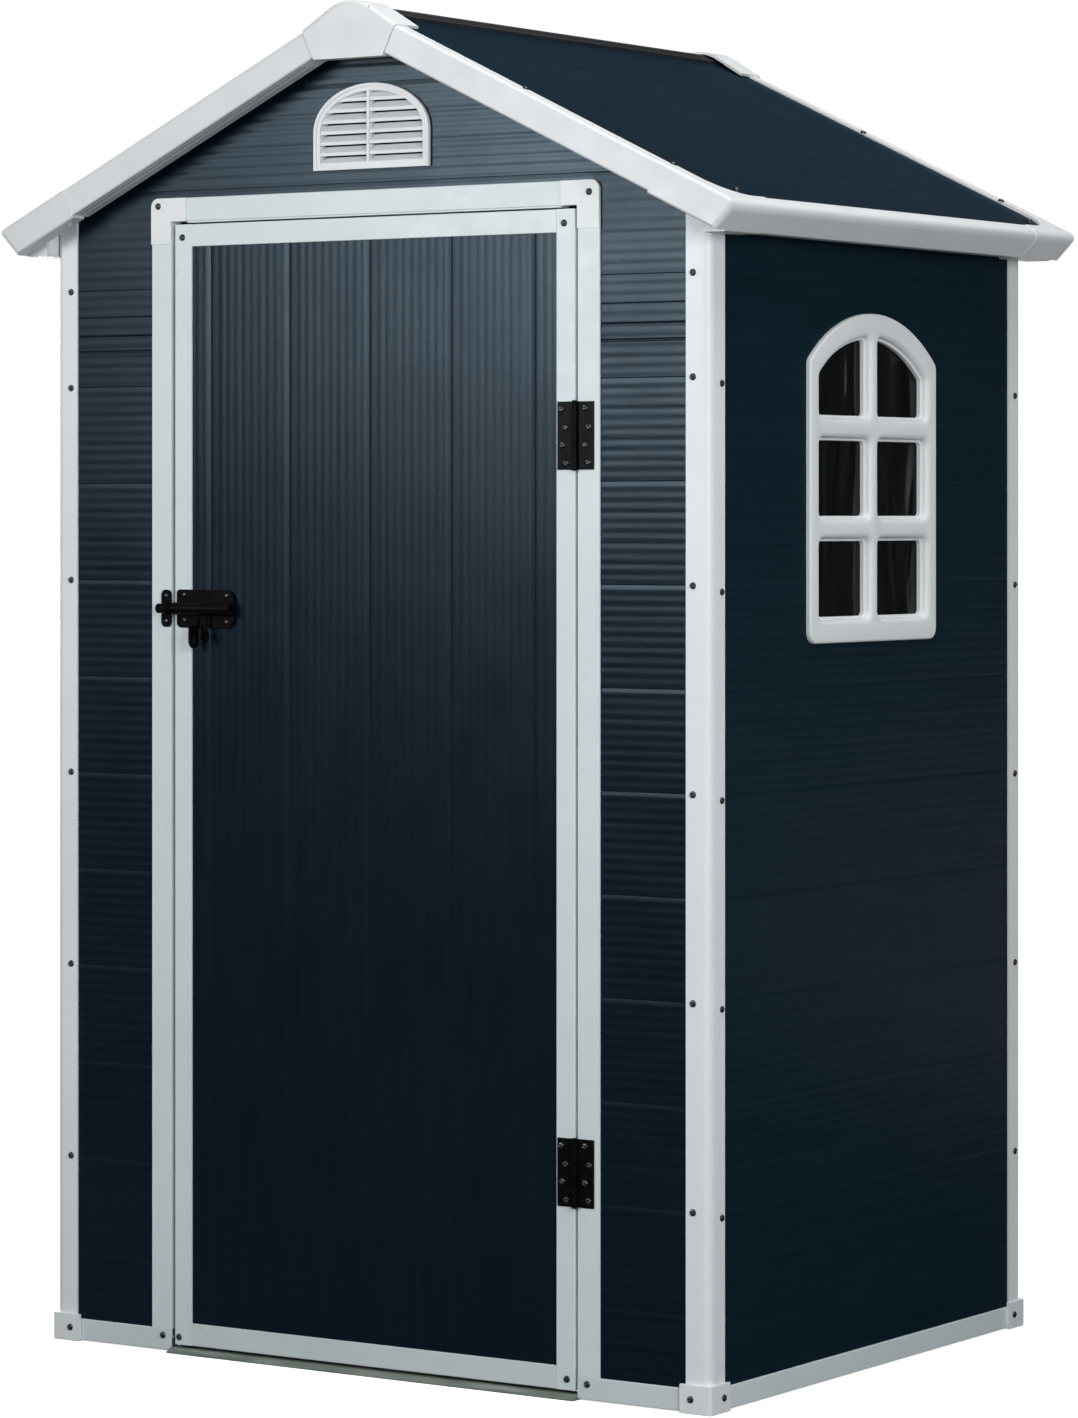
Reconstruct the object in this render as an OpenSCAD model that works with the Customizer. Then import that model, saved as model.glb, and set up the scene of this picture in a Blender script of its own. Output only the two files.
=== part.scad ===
// Small tool shed: ribbed wall boards held in a moulded trim, on a steel base ring,
// with a gable roof, a louvred vent, an arched side window and one hinged, bolted door.
// Millimetres. +X to the right of the door, +Y to the back, +Z up.
// The origin is on the ground, under the centre of the plan.

/* [Body] */
// Width over the corner posts
body_w = 1200; // [1000:10:1400]
// Depth over the corner posts
body_d = 927; // [800:1:1200]
// Thickness of a wall or roof board
board_t = 12; // [8:1:16]
// Height of one board of the walls
plank_h = 149; // [120:1:180]
// Height of the lowest joint between wall boards
first_plank_z = 138; // [100:1:140]
// Ribs on one board
plank_ribs = 10; // [6:1:12]
// Width of a corner post's front face
post_w = 41; // [36:1:50]
// Width of a corner post's side face
post_side = 40; // [34:1:48]
// Radius of a corner post's arris
post_r = 13; // [4:1:14]
// Height of a foot
foot_h = 42; // [38:1:60]
// Height of the top of the base rails
rail_top = 35; // [28:1:37]

/* [Roof] */
// Height over the apex caps
ridge_h = 2045; // [1950:1:2150]
// Pitch of the roof in degrees
pitch = 25.45; // [22:0.05:28]
// Distance from the front wall to the barge boards' face
gable_overhang = 51; // [45:1:70]
// Distance from the side wall to the fold of the eave trim
side_overhang = 75; // [65:1:90]
// Height of a barge board, across its slope
barge_h = 44.5; // [40:0.5:56]
// Height of the flat lower edge of an apex cap
apex_base_z = 1959; // [1950:1:1970]

/* [Door] */
// Width of the door leaf
leaf_w = 735; // [600:1:760]
// Height of the lower edge of the door leaf
leaf_low = 13; // [12:1:20]
// Height of the upper edge of the door leaf
leaf_top = 1726; // [1600:1:1735]
// Clear gap at the hinges and over the door leaf
door_gap = 5; // [5:0.5:8]
// Clear gap at the latch side of the door leaf
latch_gap = 7; // [5:0.5:10]
// Width of the door frame's face
frame_w = 38; // [30:0.5:44]
// Width of a door stile
stile_w = 32; // [26:1:40]
// Height of a hinge
hinge_h = 99; // [76:1:120]
// Height of the upper hinge's middle
hinge_high = 1397; // [1300:1:1500]
// Height of the lower hinge's middle
hinge_low = 329; // [250:1:450]
// Height of the bolt
bolt_z = 1139; // [900:1:1200]

/* [Window and vent] */
// Width of the window frame
window_w = 376; // [376:1:400]
// Height of the window's lower edge
window_z = 1092; // [1000:1:1150]
// Height of the straight part of the window frame
window_side_h = 418; // [380:1:440]
// Rise of the window's arch
window_rise = 74; // [50:1:90]
// Distance of the window's middle from the front wall
window_mid = 459; // [420:1:480]
// Width of the gable vent
vent_w = 211; // [160:1:220]
// Height of the vent's lower edge
vent_z = 1798; // [1792:1:1805]
// Number of slats in the vent
vent_slats = 7; // [5:1:9]

/* [Hidden] */
$fn = 48;
e = 0.5;                              // overshoot of a cutting tool

trim = "#e4e7ec";
frame_paint = "#d5dedf";
board = "#22333f";
black = "#111214";

// trims, posts and base
skin_t = 3;                           // skin of the trims and posts
lip_t = 2.5;                          // inner lip that holds a board
post_cell = skin_t + board_t + lip_t; // width of a post's corner tube
half_w = body_w / 2;
half_d = body_d / 2;
front_y = -half_d;
foot_out = 4.4;                       // a foot stands this far outside its post
foot_base = 4;
rail_low = 2;
slot_h = 12;                          // depth of the slot that takes a board's edge
board_low = rail_top - slot_h;

// wall boards
rib_pitch = plank_h / plank_ribs;
rib_gap = 5;                          // width of the groove between two ribs
rib_d = 0.9;                          // depth of the groove between two ribs
joint_d = 2;                          // depth of the joint between two boards

// roof
crest_rise = 2;                       // apex caps stand this far over the ridge line
line_h = ridge_h - crest_rise;        // ridge line of the roof trims' top faces
slope = tan(pitch);
fit = 0.1;                            // clearance over and under a roof board
roof_t = skin_t + board_t + 2 * fit;  // trims' top face down to the walls' upper edges
fold_u = (half_w + side_overhang) / cos(pitch); // along the slope, from ridge to fold
fold_x = half_w + side_overhang;
fold_z = line_h - fold_x * slope;
fold_r = 12;                          // radius of the eave trim's fold
fascia_drop = 37;                     // height of the slanted eave fascia
panel_u = fold_u - 17;                // lower edge of a roof board
flange = 32;                          // trims' flange on the roof
return_w = 22;                        // eave trims' return under the eaves
soffit_d = 39;                        // barge boards' return towards the wall
barge_y = front_y - gable_overhang;   // barge boards' front face
arris_r = 6;                          // barge boards' upper front arris
apex_u = 93;                          // joint between apex cap and barge board
corner_u = 605;                       // joint between barge board and corner cap
corner_y = 123;                       // corner cap's length along the eave

// door
opening_w = leaf_w + door_gap + latch_gap;
leaf_mid = (latch_gap - door_gap) / 2;
frame_x = opening_w / 2 + frame_w;    // outer edge of the door frame
frame_d = 24;
frame_slot = 14;                      // depth of the slot that takes a wall board
head_low = leaf_top + door_gap;
head_h = 36;
head_top = head_low + head_h;
corner_w = 67;                        // arm of a door frame corner
leaf_t = 22;
leaf_rebate = 3;                      // door board's face behind the stiles' face
rail_h = 34;
hinge_x = leaf_mid + leaf_w / 2 + door_gap / 2;
hinge_y = front_y - 4.5;

// lowest joint between wall boards above the door frame
gable_seam = first_plank_z + ceil((head_top - first_plank_z) / plank_h) * plank_h;

// ---------- placing ----------
module right_and_left() { children(); mirror([1, 0, 0]) children(); }

// Children drawn along the right roof slope: x down the slope from the ridge, z square to it.
module on_slope() { translate([0, 0, line_h]) rotate([0, pitch, 0]) children(); }

// Children drawn along the right fascia: x down and inwards from the fold, z square to it.
module on_fascia() { translate([fold_x, 0, fold_z]) rotate([0, 135, 0]) children(); }

// The point u down the right slope and n square to it, in (x, z).
function slope_point(u, n) = [u * cos(pitch) + n * sin(pitch),
                              line_h - u * sin(pitch) + n * cos(pitch)];

// A 2D outline in (y, z), swept along +X.
module sweep_x(length) { rotate([90, 0, 90]) linear_extrude(length) children(); }

// A 2D outline in (x, z), swept along +Y from y.
module sweep_y(y, length) {
    translate([0, y + length, 0]) rotate([90, 0, 0]) linear_extrude(length) children();
}

// Everything more than depth below the trims' top faces, square to the slopes.
module below_roof(depth) {
    peak = line_h - depth / cos(pitch);
    reach = 900;
    sweep_y(-half_d - 200, body_d + 400)
        polygon([[0, peak], [reach, peak - reach * slope], [reach, -10], [-reach, -10],
                 [-reach, peak - reach * slope]]);
}

module box(low, high) { translate(low) cube(high - low); }

// Rectangle from low to high with its corners rounded, radii anticlockwise from low.
module round_rect(low, high, r) {
    corners = [low, [high.x, low.y], high, [low.x, high.y]];
    inward = [[1, 1], [-1, 1], [-1, -1], [1, -1]];
    difference() {
        translate(low) square(high - low);
        for (i = [0:3]) if (r[i] > 0) translate(corners[i]) difference() {
            scale([inward[i].x, inward[i].y]) translate([-e, -e]) square(r[i] + e);
            translate(r[i] * inward[i]) circle(r[i]);
        }
    }
}

// Cuts a 2D corner at point c, whose edges leave along a and b, down to a radius r.
module corner_cut(c, a, b, r) {
    half = acos(a * b) / 2;
    mid = (a + b) / norm(a + b);
    centre = c + mid * r / sin(half);
    difference() {
        polygon([c - mid * e, c + a * r / tan(half), centre, c + b * r / tan(half)]);
        translate(centre) circle(r, $fn = 96);
    }
}

// ---------- base ----------
// A post's plan with its outer corner at the origin and its legs along +X and +Y: a skin with
// a rounded arris, a slot for a board in each leg, and a closed tube in the corner.
module post_plan() {
    lip = 2; // the inner lips end this far inside the skin's ends
    difference() {
        round_rect([0, 0], [post_w, post_side], [post_r, 0, 0, 0]);
        translate([skin_t, post_cell]) square([board_t, post_side]);
        translate([post_cell, skin_t]) square([post_w, board_t]);
        translate([skin_t, skin_t]) round_rect([0, 0], [board_t, board_t],
                                               [post_r - skin_t, 0, 0, 0]);
        translate([post_cell, post_cell]) square([post_w, post_side]);
        translate([post_w - lip, skin_t + board_t]) square([lip + e, lip_t + e]);
        translate([skin_t + board_t, post_side - lip]) square([lip_t + e, lip + e]);
    }
}

// side is -1 for left and 1 for right, back is 0 for front and 1 for back
module at_corner(side, back) {
    mirror([side > 0 ? 1 : 0, 0, 0]) mirror([0, back, 0])
        translate([-half_w, -half_d, 0]) children();
}

module post(side, back) {
    color(trim) intersection() {
        at_corner(side, back) translate([0, 0, foot_base])
            linear_extrude(ridge_h) post_plan();
        below_roof(roof_t);
    }
}

module foot() {
    outer = [post_w, post_side] + [foot_out, foot_out];
    difference() {
        translate([-foot_out, -foot_out]) linear_extrude(foot_h)
            round_rect([0, 0], outer, [post_r + foot_out, 2, 0, 2]);
        translate([0, 0, foot_base]) linear_extrude(foot_h)
            round_rect([0, 0], [post_w + e, post_side + e], [post_r, 0, 0, 0]);
    }
}

module feet() {
    color(trim) for (side = [-1, 1], back = [0, 1]) at_corner(side, back) foot();
}

// Base rail's section: a closed tube under a slot that takes the wall boards.
module rail_section() {
    wall = 2;
    difference() {
        round_rect([0, rail_low], [post_cell, rail_top], [1.5, 1.5, 0, 1.5]);
        translate([skin_t, board_low]) square([board_t, slot_h + e]);
        translate([wall, rail_low + wall])
            square([post_cell - 2 * wall, board_low - rail_low - 2 * wall]);
    }
}

module base_rail_front(side) {
    color(frame_paint) mirror([side < 0 ? 1 : 0, 0, 0])
        translate([opening_w / 2, front_y, 0])
        sweep_x(half_w - post_w - opening_w / 2) rail_section();
}

module base_rail_back() {
    color(frame_paint) mirror([0, 1, 0]) translate([-half_w + post_w, front_y, 0])
        sweep_x(body_w - 2 * post_w) rail_section();
}

module base_rail_side(side) {
    color(frame_paint) mirror([side < 0 ? 1 : 0, 0, 0])
        translate([half_w, -half_d + post_side, 0]) rotate([0, 0, 90])
        sweep_x(body_d - 2 * post_side) rail_section();
}

// Low pressed sill between the front rails: flat under the door, sloping outside it.
module door_sill() {
    high = leaf_low - 5;
    color("#8d948c") translate([-opening_w / 2, front_y, 0]) sweep_x(opening_w)
        polygon([[-12, 0], [frame_d, 0], [frame_d, high], [-1, high], [-3, high - 1],
                 [-7, 4], [-12, 2.5]]);
}

// ---------- walls ----------
// Ribbed face of the boards between two heights, as (depth, height) points from low to high:
// a shallow groove between two ribs, and a deeper one between two boards.
function ribbed_face(low, high) = [
    for (i = [ceil((low - first_plank_z) / rib_pitch) :
              floor((high - first_plank_z) / rib_pitch)])
        let (z = first_plank_z + i * rib_pitch,
             d = i % plank_ribs == 0 ? joint_d : rib_d,
             half = rib_gap / 2)
        if (z - half > low + e && z + half < high - e)
            each [[0, z - half], [d, z], [0, z + half]]];

// A wall of boards from x0 to x1 with its outer face at y = 0.
module wall_board(x0, x1, low, high) {
    translate([x0, 0, 0]) sweep_x(x1 - x0)
        polygon(concat([[board_t, low], [0, low]], ribbed_face(low, high),
                       [[0, high], [board_t, high]]));
}

module front_wall(side) {
    color(board) mirror([side < 0 ? 1 : 0, 0, 0]) intersection() {
        translate([0, front_y + skin_t, 0])
            wall_board(frame_x - frame_slot, half_w - post_cell, board_low, gable_seam);
        below_roof(roof_t);
    }
}

module front_gable() {
    slot_x = frame_x - frame_slot;
    color(board) difference() {
        intersection() {
            translate([0, front_y + skin_t, 0]) union() {
                wall_board(-half_w + post_cell, half_w - post_cell, gable_seam, ridge_h);
                wall_board(-slot_x, slot_x, head_top - frame_slot, gable_seam);
            }
            below_roof(roof_t);
        }
        sweep_y(front_y - 20, 60) vent_outline(vent_rim);
    }
}

module side_wall() {
    intersection() {
        translate([half_w - skin_t, 0, 0]) rotate([0, 0, 90])
            wall_board(-half_d + post_cell, half_d - post_cell, board_low, ridge_h);
        below_roof(roof_t);
    }
}

module left_wall() { color(board) mirror([1, 0, 0]) side_wall(); }

module right_wall() {
    color(board) difference() {
        side_wall();
        translate([half_w - 40, front_y + window_mid, 0]) sweep_x(60)
            window_outline(window_rim);
    }
}

module back_wall() {
    color(board) intersection() {
        mirror([0, 1, 0]) translate([0, front_y + skin_t, 0])
            wall_board(-half_w + post_cell, half_w - post_cell, board_low, ridge_h);
        below_roof(roof_t);
    }
}

// ---------- door frame ----------
// Section of the frame with its inner edge at x = 0: hollow, with a slot for the wall's edge.
module frame_section(width) {
    wall = 2;
    difference() {
        round_rect([0, 0], [width, frame_d], [1, 1.5, 1, 1]);
        translate([width - frame_slot, skin_t]) square([frame_slot + e, board_t]);
        translate([wall, wall]) square([width - frame_slot - 2 * wall, frame_d - 2 * wall]);
    }
}

corner_low = head_top - corner_w - 3; // lower edge of a door frame corner

module door_jamb(side) {
    color(frame_paint) mirror([side < 0 ? 1 : 0, 0, 0])
        translate([opening_w / 2, front_y, rail_top])
        linear_extrude(corner_low - rail_top) frame_section(frame_w);
}

module door_header() {
    arm = frame_x - corner_w;
    color(frame_paint) translate([-arm, front_y, head_low])
        sweep_x(2 * arm) mirror([1, -1]) frame_section(head_h);
}

// Moulded corner of the door frame, a little thicker than the bars it joins.
module door_frame_corner() {
    proud = 1.6;
    slot_x = frame_x - frame_slot;
    slot_z = head_top - frame_slot;
    inner = [frame_x - corner_w, corner_low];
    difference() {
        sweep_y(front_y - proud, frame_d + proud) difference() {
            round_rect(inner, [frame_x, head_top], [0, 0, 13, 0]);
            translate(inner - [e, e])
                square([opening_w / 2, head_low] - inner + [e, e]);
        }
        sweep_y(front_y + skin_t, board_t) difference() {
            translate(inner - [e, e]) square(corner_w + 10);
            translate([0, corner_low - 2 * e]) square([slot_x, slot_z - corner_low + 2 * e]);
        }
    }
}

module door_frame_corners() { color(trim) right_and_left() door_frame_corner(); }

// ---------- vent ----------
vent_mid = 5;      // the vent's middle is this far right of the ridge
vent_rim = 8;
vent_side_h = 57;
vent_rise = 70.5;
vent_out = 6;
vent_sill = 10;    // height of the solid strip under the slats
mullion = 4;
mullion_x = -1;

// The vent's outline in (x, z): a rectangle under half an ellipse, drawn in by inset.
module vent_outline(inset) {
    a = vent_w / 2 - inset;
    b = vent_rise - inset;
    base = vent_z + inset;
    spring = vent_z + vent_side_h;
    translate([vent_mid, 0])
        polygon(concat([[-a, base], [a, base]],
                       [for (t = [0 : 5 : 180]) [a * cos(t), spring + b * sin(t)]]));
}

module gable_vent() {
    slat_pitch = (vent_side_h + vent_rise - 15) / vent_slats;
    slat_low = vent_z + 5.3;
    face_y = front_y + skin_t - vent_out;
    color(trim) {
        difference() {
            union() {
                sweep_y(face_y, vent_out) vent_outline(0);
                sweep_y(face_y + e, vent_out + board_t - e) vent_outline(vent_rim);
            }
            sweep_y(face_y - e, vent_out + board_t + 2 * e) intersection() {
                vent_outline(vent_rim + 3);
                translate([-vent_w, vent_z + vent_sill]) square([2 * vent_w, vent_rise * 2]);
            }
            // the rim is stepped round the slats
            sweep_y(face_y - e, 1.5 + e) vent_outline(vent_rim - 3);
        }
        intersection() {
            sweep_y(face_y, vent_out + board_t) vent_outline(vent_rim + 2);
            union() {
                // louvres falling to the front, each with an upright lower edge
                for (i = [0 : vent_slats - 1])
                    translate([vent_mid - vent_w / 2, face_y, slat_low + i * slat_pitch])
                        sweep_x(vent_w)
                        polygon([[3, 0], [5.5, 0], [16.5, 12], [16.5, 14.5], [13.5, 14.5],
                                 [3, 5]]);
                box([mullion_x - mullion / 2, face_y + 1.5, vent_z + vent_sill - 2],
                    [mullion_x + mullion / 2, face_y + 16.5, vent_z + vent_side_h + vent_rise]);
            }
        }
    }
}

// ---------- window ----------
window_rim = 24;
window_out = 8;    // the frame's face stands this far outside the posts' face
glass_t = 3;
pane_w = 127;
pane_h = 112;
pane_gap = 43;
pane_pitch = 149.5;
pane_sill = 39;    // the window's lower edge up to the lowest panes
pane_bevel = 11;   // width of the stepped cove round a pane
pane_margin = 39.5; // frame's edge to a pane

// The window's outline in (y, z) about its middle: low corners rounded, a flat arch on top.
module window_outline(inset) {
    w = window_w / 2;
    arch_r = (w * w + window_rise * window_rise) / (2 * window_rise);
    top = window_z + window_side_h + window_rise;
    low_r = max(18 - inset, 4);
    intersection() {
        round_rect([-w + inset, window_z + inset], [w - inset, top], [low_r, low_r, 0, 0]);
        translate([0, top - arch_r]) circle(arch_r - inset, $fn = 180);
    }
}

// One pane's opening in (y, z); the upper panes end under the arch.
module pane(col, row, grow) {
    low = window_z + pane_sill + row * pane_pitch;
    high = row < 2 ? low + pane_h : window_z + window_side_h + window_rise;
    mid = (col - 0.5) * (pane_w + pane_gap);
    r = 8 + 0.7 * grow;
    intersection() {
        round_rect([mid - pane_w / 2 - grow, low - grow], [mid + pane_w / 2 + grow, high + grow],
                   [r, r, r, r]);
        window_outline(pane_margin - grow);
    }
}

module window_frame() {
    back = -skin_t - board_t;
    face = window_out - skin_t;
    color(trim) translate([half_w, front_y + window_mid, 0]) difference() {
        union() {
            translate([-skin_t, 0, 0]) sweep_x(window_out - 2) window_outline(0);
            translate([-skin_t, 0, 0]) sweep_x(window_out) window_outline(2);
            translate([back, 0, 0]) sweep_x(board_t + 1) window_outline(window_rim);
        }
        for (col = [0, 1], row = [0 : 2]) {
            translate([back - e, 0, 0]) sweep_x(board_t + window_out + 2 * e) pane(col, row, 0);
            for (step = [[1, 1.4], [0.62, 3], [0.3, 4.6]])
                translate([face - step[1], 0, 0]) sweep_x(step[1] + e)
                    pane(col, row, step[0] * pane_bevel);
        }
        translate([back - e, 0, 0]) sweep_x(glass_t + e) window_outline(window_rim + 6);
    }
}

module window_glass() {
    color("#0d1114", 0.6)
        translate([half_w - skin_t - board_t, front_y + window_mid, 0])
        sweep_x(glass_t) window_outline(window_rim + 6);
}

// ---------- roof ----------
ridge_u = 12;      // the roof boards start this far down the slopes
ridge_half = 36;   // half the ridge cap's width
ridge_t = 4;

module roof_panel() {
    on_y = barge_y + skin_t + 3;
    top = -skin_t - fit;
    on_slope() translate([ridge_u, on_y, 0]) sweep_x(panel_u - ridge_u)
        translate([0, top - board_t]) square([-2 * on_y, board_t]);
}

// Low rounded cap over the gap between the roof boards, grooved along its length.
module ridge_cap() {
    on_y = barge_y + flange;
    low = line_h - skin_t / cos(pitch);
    high = low + ridge_t / cos(pitch);
    groove = 2;
    color(black) difference() {
        sweep_y(on_y, -2 * on_y) difference() {
            polygon([[-ridge_half, low - ridge_half * slope], [0, low],
                     [ridge_half, low - ridge_half * slope],
                     [ridge_half, high - ridge_half * slope], [0, high],
                     [-ridge_half, high - ridge_half * slope]]);
            corner_cut([0, high], [-cos(pitch), -sin(pitch)], [cos(pitch), -sin(pitch)], 30);
        }
        right_and_left() on_slope() for (u = [20, 28])
            box([u, on_y - e, ridge_t - skin_t - 1.2], [u + groove, -on_y + e, 10]);
    }
}

// Section of a barge board in (y, square to the slope): a channel open to the back, its
// longer return finely grooved.
module barge_section() {
    groove = 1;
    difference() {
        union() {
            round_rect([0, -barge_h], [flange, 0], [3, 0, 0, arris_r]);
            translate([flange - e, -barge_h]) square([soffit_d - flange + e, skin_t]);
        }
        translate([skin_t, -barge_h + skin_t]) square([soffit_d, barge_h - 2 * skin_t]);
        for (y = [4, 15, 21, 27, 33]) translate([y, -barge_h - e]) square([groove, groove + e]);
    }
}

module barge_board() {
    translate([0, barge_y, 0]) on_slope() translate([apex_u, 0, 0])
        sweep_x(corner_u - apex_u) barge_section();
}
module barge_boards_front() { color(trim) right_and_left() barge_board(); }
module barge_boards_back() { color(trim) mirror([0, 1, 0]) right_and_left() barge_board(); }

// Where the roof line and the fascia's line meet, both moved out by grow.
function fold_point(grow) =
    let (up = grow / cos(pitch), out = grow * sqrt(2), dx = (out + up) / (1 + slope))
    [fold_x + dx, fold_z + up - slope * dx];

// Where the fascia's line meets the flat underside, both moved out by grow.
function low_point(grow) =
    [fold_x - fascia_drop + grow * (sqrt(2) - 1), fold_z - fascia_drop - grow];

// Outline of the eave in (x, z), grown outwards: roof line, rounded fold, slanted fascia and
// flat underside, reaching inwards from the fold.
module eave_outline(grow, reach) {
    fold = fold_point(grow);
    low = low_point(grow);
    difference() {
        polygon([fold + [-reach, reach * slope], fold, low, [fold.x - reach, low.y]]);
        corner_cut(fold, [-cos(pitch), sin(pitch)], [-1, -1] / sqrt(2), fold_r + grow);
        corner_cut(low, [1, 1] / sqrt(2), [-1, 0], 5 + grow);
    }
}

// Section of the trim over the edge of the roof boards.
module eave_section() {
    difference() {
        eave_outline(0, 90);
        eave_outline(-skin_t, 120);
        translate([0, line_h]) rotate(-pitch) translate([0, -18])
            square([fold_u - flange, 30]);
        translate([0, fold_z - fascia_drop - 10])
            square([fold_x - fascia_drop - return_w, 30]);
    }
}

module eave_trim() {
    on_y = barge_y + corner_y;
    color(trim) sweep_y(on_y, -2 * on_y) eave_section();
}

cap_out = 1.2;     // corner caps stand this far outside the trims they join
cap_drop = 3.5;    // their lower edge is this far below the barge boards'
strip_d = 28;      // depth of their underside along the gable
cap_reach = 180;

// The barge board's form carried on round the corner, its faces moved in by inset.
module corner_form(inset) {
    face = barge_y - cap_out + inset;
    top = cap_out - inset;
    intersection() {
        sweep_y(face, corner_y) eave_outline(top, cap_reach);
        translate([0, face, 0]) on_slope() translate([corner_u - 80, 0, 0])
            sweep_x(2 * cap_reach)
            round_rect([0, -barge_h - cap_drop + inset], [2 * corner_y, top],
                       [max(4 - inset, 0), 0, 0, max(arris_r + 1 - inset, 3)]);
        fascia_prism(inset);
    }
}

// Everything behind the fascia's face, with a rounded arris to the front.
module fascia_prism(inset) {
    translate([0, barge_y - cap_out + inset, 0]) on_fascia() translate([-cap_reach, 0, 0])
        sweep_x(2 * cap_reach)
        round_rect([0, -2 * cap_reach], [2 * corner_y, cap_out - inset],
                   [0, 0, 0, max(9 - inset, 4)]);
}

// The eave's form behind the gable strip, out from the wall's face.
module eave_form(inset) {
    face = barge_y + strip_d + inset;
    intersection() {
        sweep_y(face, corner_y) eave_outline(cap_out - inset, cap_reach);
        box([half_w, -2000, 0], [half_w + cap_reach, 2000, ridge_h]);
    }
}

module roof_corner() {
    wall = cap_out + skin_t;
    strip_y = barge_y + strip_d;
    intersection() {
        difference() {
            union() {
                corner_form(0);
                eave_form(0);
            }
            corner_form(wall);
            eave_form(wall);
            // open over the walls, up to the roof boards' top face
            intersection() {
                box([0, strip_y, 0], [half_w, 0, ridge_h]);
                below_roof(skin_t);
            }
            // the joint with the barge board
            on_slope() box([0, -2000, -200], [corner_u, 2000, 50]);
            // concave inner edge of the flange on the roof
            translate([0, barge_y, 0]) on_slope() translate([0, 0, -skin_t - 1])
                linear_extrude(40) corner_curve(corner_u, fold_u, 60);
            // slot for the joint's clip
            on_slope() translate([corner_u + 8, barge_y + 12, -barge_h - cap_drop - e])
                cube([14, 7, wall + 2 * e]);
        }
        box([0, barge_y - cap_out, 0], [2 * fold_x, barge_y + corner_y, ridge_h]);
    }
}

// The part of the roof that a corner cap leaves bare, in (down the slope, back).
module corner_curve(start, fold, r) {
    edge = fold - flange;
    difference() {
        translate([start - e, flange]) square([edge - start + e, corner_y + 2 * e]);
        translate([edge - r, flange - e]) difference() {
            square(r + e);
            translate([0, r + e]) circle(r, $fn = 96);
        }
    }
}

module roof_corners_front() { color(trim) right_and_left() roof_corner(); }
module roof_corners_back() { color(trim) mirror([0, 1, 0]) right_and_left() roof_corner(); }

apex_pitch = pitch + 6;            // an apex cap's edges fall more steeply than the roof
apex_out = 2.5;                    // apex caps stand this far in front
apex_up = 2.8;                     // and this far over the barge boards at their joints
apex_t = 4;
apex_d = 62;                       // depth of their flange over the roof
apex_arris = 8;
apex_joint = slope_point(apex_u, apex_up);
apex_vertex = apex_joint.y + apex_joint.x * tan(apex_pitch);
crest_r = (apex_vertex - ridge_h) / (1 / cos(apex_pitch) - 1);

// Outline of an apex cap in (x, z), drawn in by inset and reaching past its joints by more:
// two flared edges, a rounded crest and a flat lower edge.
module apex_outline(inset, more) {
    fall = [cos(apex_pitch), -sin(apex_pitch)];
    vertex = [0, apex_vertex - inset / cos(apex_pitch)];
    joint = vertex + fall * (apex_joint.x / cos(apex_pitch) + more);
    base = apex_base_z + inset;
    foot_x = joint.x - (joint.y - base) * slope;
    difference() {
        polygon([[-foot_x, base], [foot_x, base], joint, vertex, [-joint.x, joint.y]]);
        corner_cut(vertex, [-fall.x, fall.y], fall, crest_r - inset);
    }
}

// What a rounded arris leaves outside it: corner at the origin, solid along +X and -Y.
module arris_waste(r) {
    difference() {
        translate([-e, -r]) square([r + e, r + e]);
        translate([r, -r]) circle(r);
    }
}

module apex_cap() {
    y = barge_y - apex_out;
    centre = [0, ridge_h - crest_r];
    wedge = 2 * crest_r * [sin(apex_pitch), cos(apex_pitch)];
    difference() {
        sweep_y(y, apex_d) apex_outline(0, 0);
        // behind the face and under the flange
        sweep_y(y + apex_t, apex_d) apex_outline(apex_t, 30);
        sweep_y(y + return_w, apex_d)
            translate([-apex_joint.x, 0]) square([2 * apex_joint.x, apex_joint.y - 2 * apex_t]);
        // rounded arris along the flared edges
        right_and_left() translate([apex_joint.x, y, apex_joint.y])
            rotate([0, apex_pitch, 0]) translate([-2 * apex_joint.x, 0, 0])
            intersection() {
                sweep_x(3 * apex_joint.x) arris_waste(apex_arris);
                box([apex_joint.x * (2 - 1 / cos(apex_pitch)) + crest_r * tan(apex_pitch),
                     -e, -2 * apex_arris], [3 * apex_joint.x, 2 * apex_arris, e]);
            }
        // and round the crest
        intersection() {
            translate([0, y, centre.y]) rotate([-90, 0, 0]) rotate_extrude($fn = 96)
                translate([crest_r, 0]) rotate(90) mirror([0, 1]) arris_waste(apex_arris);
            sweep_y(y - e, 2 * apex_arris)
                polygon([centre, centre + wedge, centre + [-wedge.x, wedge.y]]);
        }
    }
}
module apex_cap_front() { color(trim) apex_cap(); }
module apex_cap_back() { color(trim) mirror([0, 1, 0]) apex_cap(); }

// ---------- hinges ----------
knuckles = 5;
knuckle_r = 4;
pin_r = 2.2;
pin_head = 1.5;    // the pin's heads stand this far past the flaps
flap_t = 1.8;
flap_reach = 31.5;

// One leaf of a hinge along z from 0, its flap towards +X; own picks its knuckles.
module hinge_leaf(own, bore_r) {
    step = hinge_h / knuckles;
    difference() {
        union() {
            box([0, 4.5 - flap_t, 0], [flap_reach, 4.5, hinge_h]);
            for (i = own) translate([0, 0, i * step + 0.2]) cylinder(r = knuckle_r, h = step - 0.4);
        }
        for (i = [0 : knuckles - 1]) if (len(search(i, own)) == 0)
            translate([0, 0, i * step - 0.2]) cylinder(r = knuckle_r + 1, h = step + 0.4);
        for (i = own) translate([-3, 0, i * step]) box([-5, 3, -1], [0, 6, step + 2]);
        translate([0, 0, -e]) cylinder(r = bore_r, h = hinge_h + 2 * e);
    }
}

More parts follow.
